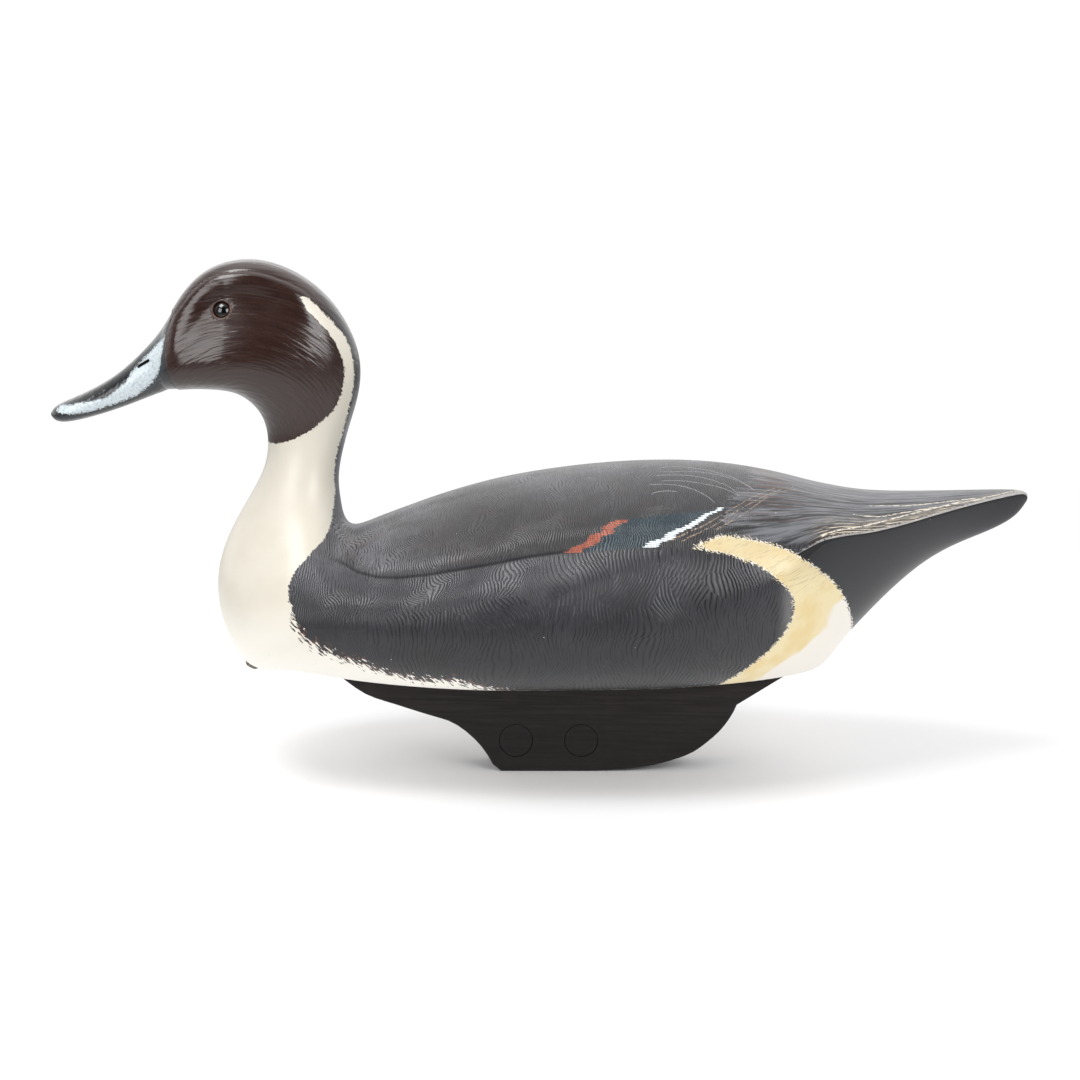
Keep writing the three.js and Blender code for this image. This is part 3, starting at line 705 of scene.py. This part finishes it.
# The pale band: a painted highlight along the edge, wider at the tip where the paint has worn, and
# broken up by chips
worn = oil.plus(oil.climb(x, 118, 160, 0.8, 2), oil.climb(x, 220, 236, 0, 2))
chips = oil.less(oil.grain(place, 0.9, 2, 0.6), 0.55)
worn = oil.plus(oil.less(worn, over_arris), oil.times(chips, 6))
worn = oil.times(oil.climb(worn, -0.3, 0.6), oil.climb(x, 112, 126))
paint = oil.coats(
    paint,
    (oil.times(mottled, 0.85), "2b1e16"),
    (oil.times(streaks, on_upper_tail), "d8cdb6"),
    (oil.times(worn, 0.75), "a19e9e"),
)

# Under the tail: black, up to the sharp edge of the tail, dull and blackest along that edge, and
# painted darker where the black wraps over the edge: painted shade on a face that would catch the
# lamps
black_under = oil.times(oil.climb(on_upper_tail, 1, 0), oil.climb(x, 118, 124))
sharp_edge = oil.times(oil.hill(over_arris, -0.7, 0.9), oil.climb(x, 119, 126))
painted_shade_wedge = oil.times(black_under, oil.climb(from_arris, -1.5, 0.5))
paint = oil.coats(
    paint,
    (black_under, "212226"),
    (oil.times(sharp_edge, 0.8), "0b0b0d"),
    (oil.times(painted_shade_wedge, 0.8), "0e0e10"),
)

# Wing mirror: dark teal between a rust bar and a white bar
on_teal = edge(painted("wing_mirror"), oil.strokes(place, 0, 2.5, 0.7), 0.35)
teal = oil.cover(oil.climb(speckled, 0.4, 0.65), "15262e", "223943")
paint = oil.cover(on_teal, paint, teal)

STROKE_HEIGHT = 0.85
STROKE_STRAY = 2.8


def bar(foot, head, color, under):
    """A slanting bar made of short level strokes; foot and head are x, z and width of its ends."""
    (low_x, low_z, low_width), (high_x, high_z, high_width) = foot, head
    level = oil.calc("DIVIDE", oil.calc("MULTIPLY_ADD", x, 0.08, z), STROKE_HEIGHT)
    row, in_row = oil.calc("FLOOR", level), oil.calc("FRACT", level)
    luck = oil.put("TexWhiteNoise", {"W": row}, noise_dimensions="1D").outputs["Value"]
    share = oil.ramp(z, low_z, high_z)
    middle = oil.calc("MULTIPLY_ADD", share, high_x - low_x, low_x)
    middle = oil.sway(middle, luck, STROKE_STRAY)
    room = oil.calc("MULTIPLY_ADD", share, (high_width - low_width) / 2, low_width / 2)
    room = oil.less(room, oil.calc("ABSOLUTE", oil.less(x, middle)))
    room = oil.sway(room, oil.grain(place, 1.3, 2), 2.4)
    off_row = oil.calc("ABSOLUTE", oil.less(in_row, 0.5))
    room = oil.calc("MULTIPLY_ADD", off_row, -3.2, room)
    ends = oil.times(oil.climb(z, low_z - 0.2, low_z), oil.climb(z, high_z + 0.2, high_z))
    shade = oil.climb(off_row, 0.2, 0.5, 0, 0.8)
    strokes = oil.cover(shade, color, oil.cover(0.6, color, under))
    return oil.cover(oil.times(oil.climb(room, -0.1, 0.15), ends), under, strokes)


rust = oil.cover(oil.climb(speckled, 0.4, 0.6), "8f4630", "b35c40")
paint = bar((15.4, 122.6, 8), (38.6, 136.4, 7.4), rust, paint)
paint = bar((51, 125.6, 8.4), (86, 140.6, 4.2), "e3ebef", paint)

shaking = oil.grain(place, 0.35, 2)
drying = oil.grain(oil.strokes(place, 0, 2.5, 1), 1, 2, 0.7)


def feather_line(points, width, color, under, dry_from=0.36, strength=0.9):
    """A thin painted line seen from above, through points x, distance from the middle."""
    xs, ys = np.transpose(points)
    low, high = ys.min(), ys.max() + 0.01
    share = oil.ramp(x, xs[0], xs[-1])
    curve = oil.put("FloatCurve", {"Value": share})
    dots = curve.mapping.curves[0].points
    spots = [((px - xs[0]) / (xs[-1] - xs[0]), (py - low) / (high - low)) for px, py in points]
    dots[0].location, dots[1].location = spots[0], spots[-1]
    for spot in spots[1:-1]:
        dots.new(*spot)
    curve.mapping.update()
    height = oil.calc("MULTIPLY_ADD", curve.outputs[0], high - low, low)
    steep = np.abs(np.diff(ys) / np.diff(xs)).mean()
    gap = oil.times(oil.less(far, height), 1 / math.hypot(1, steep))
    dryness = oil.less(drying, dry_from)
    mask = oil.use(thin_line, Distance=gap, Width=width, Shake=shaking, Dryness=dryness)[0]
    within = oil.times(oil.climb(x, xs[0] - 1, xs[0] + 1), oil.climb(x, xs[-1] + 1, xs[-1] - 1))
    return oil.cover(oil.times(mask, within, on_upper_side, strength), under, color)


# Lines on the feathers: pale ones on the wing, buff ones on the long feathers behind the wing
# mirror, and pale ones along the tail
on_upper_side = oil.times(on_back, on_upper_tail)
WING_LINES = [
    [
        (57.8, 10.2), (65, 6.6), (72.9, 7.9), (80.8, 10.1), (85.9, 13.3), (91.2, 16.2),
        (96.3, 20.1), (103.5, 27.7),
    ],
    [
        (58.4, 14.8), (64.4, 15.2), (69.9, 14.3), (78.5, 14.5), (85.9, 16.3), (91, 18.6),
        (96.2, 21.4), (103.1, 27.9),
    ],
    [
        (56.6, 20.2), (67.1, 19.5), (74.9, 20.4), (80.3, 22.1), (85.4, 24.8), (90, 27.5),
        (95.9, 34.5),
    ],
    [(58.4, 26.4), (64.2, 25.9), (72.1, 26.5), (80, 28.3), (85.1, 29.5), (95.7, 35)],
    [(52.9, 29.8), (58.9, 29.5), (64.1, 30.1), (69.2, 31.4), (77.5, 36.1), (83.5, 41.8)],
    [(53.5, 38.2), (56.6, 36.1), (60.9, 35.4), (65.5, 35.8)],
]
TERTIALS = [
    [
        (60.3, 62.5), (64.6, 61.1), (71.1, 58.1), (78.8, 54.4), (89.7, 46.4), (104.6, 32),
        (117.1, 18.5),
    ],
    [(67.1, 62.1), (78.8, 56.6), (85.1, 52.9), (92.2, 47.2), (103.8, 36.3), (120.2, 18.1)],
    [(84, 55.6), (92.5, 50.3), (103, 40.2), (111.6, 29.6), (125.1, 17.3)],
]
TAIL_LINES = [
    [(134.4, 51), (152, 41.7), (164.3, 34.1), (185.9, 22.7), (213.2, 11.8), (236.8, 0.4)],
    [(151.5, 31.7), (163.3, 29.9), (174.6, 25.5), (184.6, 21.8), (195.3, 18.4), (206.1, 13.3)],
    [(160.7, 20.1), (167.7, 19), (178.1, 17.9), (189.3, 15.8), (199.2, 13.6), (213.4, 10.4)],
]
for points in WING_LINES:
    paint = feather_line(points, 0.34, "b9bdc2", paint, strength=0.6)
for points in TERTIALS:
    paint = feather_line(points, 0.5, "a38d78", paint, dry_from=0.49, strength=0.75)
for points in TAIL_LINES:
    paint = feather_line(points, 0.9, "d9d0c0", paint, dry_from=0.46)

# Crescent behind the side pocket: buff, paler low down, with fine slanting ticks in its upper part
# and a whitish toothed rim
ticks = oil.climb(oil.grain(oil.strokes(side_place, -24, 8, 0.65), 1, 1), 0.56, 0.62)
low_down = oil.plus(x, oil.times(z, -1.1), oil.times(cloudy, 36))
rim = oil.times(oil.climb(in_crescent, 1.1, 0.2), oil.climb(speckled, 0.42, 0.56))
buff = oil.coats(
    "e6cf98",
    (oil.climb(oil.grain(place, 0.08, 3), 0.38, 0.62), "eadaae"),
    (oil.times(ticks, oil.climb(z, 92, 118), 0.4), "8f7d58"),
    (oil.climb(z, 102, 122, 0, 0.6), "c6b692"),
    (oil.climb(low_down, 64, 69), "efe9df"),
    (oil.times(rim, 0.8), "e9e6e2"),
)
on_crescent = edge(in_crescent, oil.strokes(side_place, 35, 1.4, 0.6), 1.3)
paint = oil.cover(on_crescent, paint, buff)

# Head: glossy dark brown, brushed in arcs back from the bill. Its brown turns to black and then
# to grey down the hindneck.
ARCS_X, ARCS_Z = -145, 168
from_x, from_z = oil.less(x, ARCS_X), oil.less(z, ARCS_Z)
reach_out = oil.calc("SQRT", oil.plus(oil.times(from_x, from_x), oil.times(from_z, from_z)))
swept = oil.times(oil.calc("ARCTAN2", from_x, from_z), 45)
arcs = oil.vector(oil.times(swept, 0.14), oil.times(reach_out, 1.1), oil.times(y, 0.5))
head_marks = oil.use(brush_marks, Strokes=arcs)
brown = oil.cover(oil.climb(head_marks["Light"], 0.38, 0.64), "291713", "33201a")
NAPE_X, NAPE_Z, NAPE_BEND = -93, 200, 0.0163
nape_front = oil.less(NAPE_X, oil.times(oil.calc("POWER", oil.less(z, NAPE_Z), 2), NAPE_BEND))
nape = oil.coats(brown, (oil.climb(z, 245, 215), "1d1d20"), (oil.climb(z, 205, 165), "35373e"))
hindneck = oil.climb(oil.less(x, nape_front), -3, 3)
brown = oil.cover(oil.times(hindneck, oil.climb(z, 246, 236)), brown, nape)
above_body = oil.times(oil.climb(z, 118, 140), oil.climb(x, -80, -88))
paint = oil.cover(above_body, paint, brown)

# Neck, breast and underside: warm cream, painted lighter up the neck and palest low down: painted
# light, where the lamps fall on the neck and where the floor throws light up under the breast. Its
# edge is crisp on the neck, and on the breast the grey is flicked over it in short black and brown
# strokes.
cream = oil.coats(
    "d0c9bb",
    (oil.climb(cloudy, 0.35, 0.65), "d6d0c3"),
    # painted light: lighter up the neck
    (oil.climb(z, 120, 165), "dad4c7"),
    # painted light: palest low down and underneath, where the floor throws light up
    (oil.climb(z, 100, 60), "f8f4ea"),
)
flicks = oil.grain(oil.strokes(side_place, 40, 5, 0.9), 1, 1)
ragged = oil.climb(z, 102, 82, 0.12, 1)
flicks = oil.times(oil.less(flicks, 0.5), ragged)
on_cream = oil.calc("MULTIPLY_ADD", flicks, 15, in_cream)
on_cream = oil.sway(on_cream, oil.grain(place, 1.2, 2, 0.7), 2.2)
on_cream = oil.climb(on_cream, -0.15, 0.15)
strays = oil.grain(oil.strokes(side_place, 43, 4.5, 0.9), 1, 1)
strays = oil.times(oil.less(strays, 0.5), 22)
strays = oil.less(strays, oil.calc("ABSOLUTE", in_cream))
strays = oil.climb(oil.less(strays, oil.climb(z, 84, 104, 0, 9)), -0.2, 0.2)
stray_color = oil.cover(oil.climb(oil.grain(place, 0.4, 1), 0.42, 0.56), "261a18", "65453a")
dip = oil.times(oil.climb(oil.grain(oil.strokes(place, 8, 6, 0.8), 1, 2), 0.4, 0.6), 0.7)
under = oil.climb(oil.less(painted("above_bottom"), dip), 0.1, -0.4)
paint = oil.coats(paint, (on_cream, cream), (under, cream), (strays, stray_color))

# Bill: black with a pale blue-grey patch along each side, slate behind the patch, nostril slots
# painted dark as painted shade in them, and a thin dark line where it meets the face
slate = oil.times(oil.climb(in_patch, -4.5, -0.6), oil.climb(x, -200, -187, 0.25, 1))
patch_color = oil.cover(oil.climb(speckled, 0.3, 0.55), "a7b3bb", "cbd5da")
bill = oil.coats(
    "141517",
    (slate, "2f353b"),
    (edge(in_patch, oil.strokes(side_place, -35, 0.7, 0.4), 1), patch_color),
    # painted shade in the nostril slots
    (oil.climb(painted("nostril"), 0.85, 0.6), "1d1716"),
    (oil.climb(in_bill, 0.95, 0.45), "0b0a0a"),
)
paint = oil.cover(oil.climb(in_bill, -0.08, 0.08), paint, bill)

# A few specks of white paint, flicked off the brush
specks = oil.put("TexVoronoi", {"Vector": place, "Scale": 0.1}, feature="F1").outputs["Distance"]
paint = oil.cover(oil.climb(specks, 0.028, 0.018), paint, "c9ccd0")

# The dry paint: a soft gloss, with a coat of varnish over the head and bill only
on_head = oil.times(oil.climb(z, 160, 175), oil.less(1, on_cream))
rough = oil.climb(on_head, 0, 1, 0.34, 0.22)
rough = oil.sway(rough, speckled, 0.15)
at_base = oil.times(oil.climb(in_bill, 0.95, 0.6), oil.climb(in_bill, -0.1, 0.1))
grooves = oil.most(at_base, oil.times(cut_shade, oil.climb(z, 150, 140)), painted_shade_wedge)
rough = oil.calc("MULTIPLY_ADD", grooves, 0.5, rough)

# What the comb and the brush left standing, in millimetres
COMB_RELIEF = 0.17
plain = oil.less(1, oil.most(on_cream, on_crescent))
fine_comb = oil.most(on_back, on_shoulder)
combed = oil.blend(fine_comb, flank_comb["Relief"], back_comb["Relief"])
on_body = oil.times(oil.less(1, above_body), oil.climb(x, 118, 90))
relief = oil.plus(
    oil.times(combed, plain, on_body, COMB_RELIEF),
    oil.times(tail_marks["Relief"], oil.climb(x, 90, 118), on_upper_tail, 0.25),
    oil.times(head_marks["Relief"], on_head, 0.4),
    oil.times(speckled, oil.climb(on_head, 0, 1, 0.05, 0)),
    oil.times(on_cream, 0.03),
)
oil.feed(gloss, {
    "Base Color": paint, "Roughness": rough, "IOR": 1.52, "Normal": oil.bump(relief),
    "Coat Weight": oil.times(on_head, 0.25), "Coat Roughness": 0.18,
})

# --------------------------------------------------------------------------------
# Glass eyes: solid domed buttons with a black pupil and a dark brown iris, under a clear gloss,
# bedded in a thin ring of putty that was painted brown with the head.

EYE_RADIUS = 4.6
EYE_DOME = 2.2
EYE_SHANK = 3.4
EYE_PROUD = 0.5
PUTTY_RING, PUTTY_THICK, PUTTY_DEPTH = 4.78, 0.62, 0.3
ball = (EYE_RADIUS**2 + EYE_DOME**2) / (2 * EYE_DOME)

glass, iris, clear = new_material("eye_glass")
out_radius = iris.put("Attribute", attribute_name="from_axis").outputs["Fac"]
rays = iris.grain(iris.millimetres(), 1.6, 3, 0.7)
brown_iris = iris.cover(iris.climb(rays, 0.3, 0.7), "2a130b", "4a2413")
pupil = iris.climb(iris.sway(out_radius, rays, 0.2), 3.55, 3.35)
look = iris.cover(pupil, brown_iris, "050505")
look = iris.cover(iris.climb(out_radius, 3.9, 4.3), look, "0c0605")
iris.feed(clear, {
    "Base Color": look, "Roughness": 0.06, "Specular IOR Level": 0.3,
    "Coat Weight": 1, "Coat Roughness": 0.02, "Coat IOR": 1.52,
})

putty, soft, dull = new_material("eye_putty")
worn = soft.grain(soft.millimetres(), 0.8, 3, 0.6)
browned = soft.cover(soft.climb(worn, 0.4, 0.62), "3a2a26", "6b5348")
lumps = soft.bump(soft.times(worn, 0.12))
soft.feed(dull, {"Base Color": browned, "Roughness": 0.42, "Normal": lumps})

for name, side in [("eye_left", 1), ("eye_right", -1)]:
    look = Vector(EYE_LOOK * (1, side, 1)).normalized()
    middle = Vector(EYE * (1, side, 1))
    seat = middle + look * (EYE_PROUD - ball)
    turn_out = look.to_track_quat("Z", "Y").to_euler()
    bpy.ops.mesh.primitive_uv_sphere_add(segments=64, ring_count=48, radius=ball * MM)
    eye = bpy.context.object
    eye.name = f"glass_{name}"
    bpy.ops.object.mode_set(mode="EDIT")
    bpy.ops.mesh.select_all(action="SELECT")
    rim = (0, 0, (ball - EYE_DOME) * MM)
    bpy.ops.mesh.bisect(plane_co=rim, plane_no=(0, 0, 1), clear_inner=True, use_fill=False)
    pick_open_rims()
    for share in (0.4, 0.6):
        inward = (0, 0, -EYE_SHANK * share * MM)
        bpy.ops.mesh.extrude_region_move(TRANSFORM_OT_translate={"value": inward})
    bpy.ops.transform.resize(value=(0.8, 0.8, 1))
    close_up(smooth_deg=40)
    layer = eye.data.attributes.new("from_axis", "FLOAT", "POINT")
    layer.data.foreach_set("value", [math.hypot(v.co.x, v.co.y) / MM for v in eye.data.vertices])
    eye.location, eye.rotation_euler = seat * MM, turn_out
    bpy.ops.object.transform_apply()
    eye.data.materials.append(glass)
    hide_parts(name)
    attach(eye, "root")

    bpy.ops.mesh.primitive_torus_add(
        major_radius=PUTTY_RING * MM, minor_radius=PUTTY_THICK * MM,
        major_segments=64, minor_segments=16,
    )
    ring = bpy.context.object
    ring.name = f"putty_{name}"
    bpy.ops.transform.resize(value=(1, 1, 0.9))
    uneven = bpy.data.textures.new(f"uneven_{name}", "CLOUDS")
    uneven.noise_scale = 4 * MM
    press = ring.modifiers.new("pressed_by_hand", "DISPLACE")
    press.texture, press.strength, press.mid_level = uneven, 0.35 * MM, 0.5
    bpy.ops.object.modifier_apply(modifier=press.name)
    bpy.ops.object.shade_smooth()
    ring.location = (middle - look * PUTTY_DEPTH) * MM
    ring.rotation_euler = turn_out
    bpy.ops.object.transform_apply()
    ring.data.materials.append(putty)
    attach(ring, "root")

# --------------------------------------------------------------------------------
# Keel: a planed board of soft wood, screwed up under the hull and sawn to shape, with two round
# lead weights cast into holes through it. All of it is painted a dull brown black, and it is
# painted darker at the foot as painted shade near the floor.

keel_paint, black, matt = new_material("keel_paint")
place = black.millimetres()
grain = black.grain(black.strokes(place, 1.5, 30, 1.1), 1, 4, 0.6)
patchy = black.grain(place, 0.05, 3)
height = black.split(place)[2]
coat = black.coats(
    "1e1b1a",
    (black.climb(grain, 0.35, 0.68), "2a2625"),
    (black.times(black.climb(patchy, 0.5, 0.7), 0.35), "322d2b"),
    # painted shade: darker towards the foot
    (black.climb(height, 46, 8, 0, 0.6), "100e0d"),
)
rough = black.climb(patchy, 0.3, 0.7, 0.5, 0.6)
ridges = black.bump(black.times(grain, 0.16))
black.feed(matt, {
    "Base Color": coat, "Roughness": rough, "Specular IOR Level": 0.2, "Normal": ridges,
})


def paint_solid(name, material):
    """A solid that shows as it is, in this material."""
    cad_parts[name].data.materials.clear()
    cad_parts[name].data.materials.append(material)


for name in ("keel", "keel_weight_front", "keel_weight_rear"):
    paint_solid(name, keel_paint)

# --------------------------------------------------------------------------------
# Line tie: a staple of dull steel wire, bent round a rod and driven into the hull under the
# breast, for the knot of the anchor line.

tie_wire, wire, steel = new_material("tie_wire")
tarnish = wire.grain(wire.millimetres(), 0.9, 4, 0.65)
greyed = wire.cover(wire.climb(tarnish, 0.4, 0.65), "8d8780", "57463a")
rough = wire.climb(tarnish, 0.35, 0.7, 0.32, 0.6)
wire.feed(steel, {"Base Color": greyed, "Metallic": 0.9, "Roughness": rough})
paint_solid("line_tie", tie_wire)

# --------------------------------------------------------------------------------
# The photographer's table: a white sweep, a soft lamp on each side in front, a small one high on
# the left and a broad weak one overhead behind, and the camera a little above the bird.

bpy.ops.mesh.primitive_circle_add(vertices=96, radius=3, fill_type="NGON")
floor = bpy.context.object
floor.name = "floor"
sweep, white, paper = new_material("white_sweep")
white.feed(paper, {
    "Base Color": (0.84, 0.84, 0.85, 1), "Roughness": 0.9, "Specular IOR Level": 0.1,
})
from_middle = white.put("TexCoord").outputs["Object"]
out = white.put("VectorMath", {0: from_middle}, operation="LENGTH").outputs["Value"]
seen = white.put("LightPath").outputs["Is Camera Ray"]
# The sweep burns out to BACKDROP white further off. What the bird mirrors of it is dimmer there,
# and brighter close by, where it throws light up under the bird.
BACKDROP = 1.02
mirrored_glare = white.climb(out, 0.2, 0.6, 1.08, 0.5)
glare = white.blend(seen, mirrored_glare, BACKDROP)
burnt = white.put("Emission", {"Color": (1, 1, 1, 1), "Strength": glare})
thrown_up = white.calc("MULTIPLY_ADD", seen, -0.6, 0.6)
burnt_share = white.most(white.climb(out, 0.3, 0.8), thrown_up)
fade = white.put("MixShader", {0: burnt_share, 1: paper.outputs[0], 2: burnt.outputs[0]})
white.feed(white.tree.nodes["Material Output"], {"Surface": fade.outputs[0]})
floor.data.materials.append(sweep)

world = bpy.data.worlds.new("white_studio")
world.use_nodes = True
bpy.context.scene.world = world
air = Paintbox(world.node_tree)
backdrop = world.node_tree.nodes["Background"]
behind, above = air.split(air.put("TexCoord").outputs["Generated"])[1:3]
# The room is dark in front of the bird and bright behind it
glow = air.times(air.climb(behind, -0.6, 0.4, 0.05, 1.25), air.climb(above, 0.35, 0.75, 1, 0.8))
seen = air.put("LightPath").outputs["Is Camera Ray"]
air.feed(backdrop, {"Color": (1, 1, 1, 1), "Strength": air.blend(seen, glow, BACKDROP)})

# Each lamp: degrees round to the right from the camera's side, degrees up, size in metres, watts
LOOK_AT = Vector((-0.75, 0, 128.9)) * MM
LAMP_DISTANCE = 1.6
for name, around_deg, up_deg, wide, tall, power in [
    ("lamp_left", -38, 23, 0.8, 0.9, 9.2),
    ("lamp_high", -52, 63, 0.7, 0.7, 14),
    ("lamp_right", 38, 24, 0.75, 0.9, 12),
    ("lamp_over", 140, 76, 2.3, 2.3, 8),
]:
    a, e = math.radians(around_deg), math.radians(up_deg)
    toward = Vector((math.sin(a) * math.cos(e), -math.cos(a) * math.cos(e), math.sin(e)))
    bpy.ops.object.light_add(type="AREA")
    lamp = bpy.context.object
    lamp.name = name
    lamp.data.shape = "RECTANGLE"
    lamp.data.size, lamp.data.size_y = wide, tall
    lamp.data.energy = power
    lamp.location = LOOK_AT + toward * LAMP_DISTANCE
    lamp.rotation_euler = toward.to_track_quat("Z", "Y").to_euler()

bpy.ops.object.camera_add()
camera = bpy.context.object
CAMERA_DISTANCE = 1.7
pitch = math.radians(12)
camera.location = LOOK_AT + Vector((0, -math.cos(pitch), math.sin(pitch))) * CAMERA_DISTANCE
camera.rotation_euler = (math.pi / 2 - pitch, 0, 0)
camera.data.lens = 114.76
camera.data.sensor_width = 36
camera.data.shift_x = 0.00093
camera.data.shift_y = -0.02574
bpy.context.scene.camera = camera
bpy.context.scene.view_settings.view_transform = "Standard"
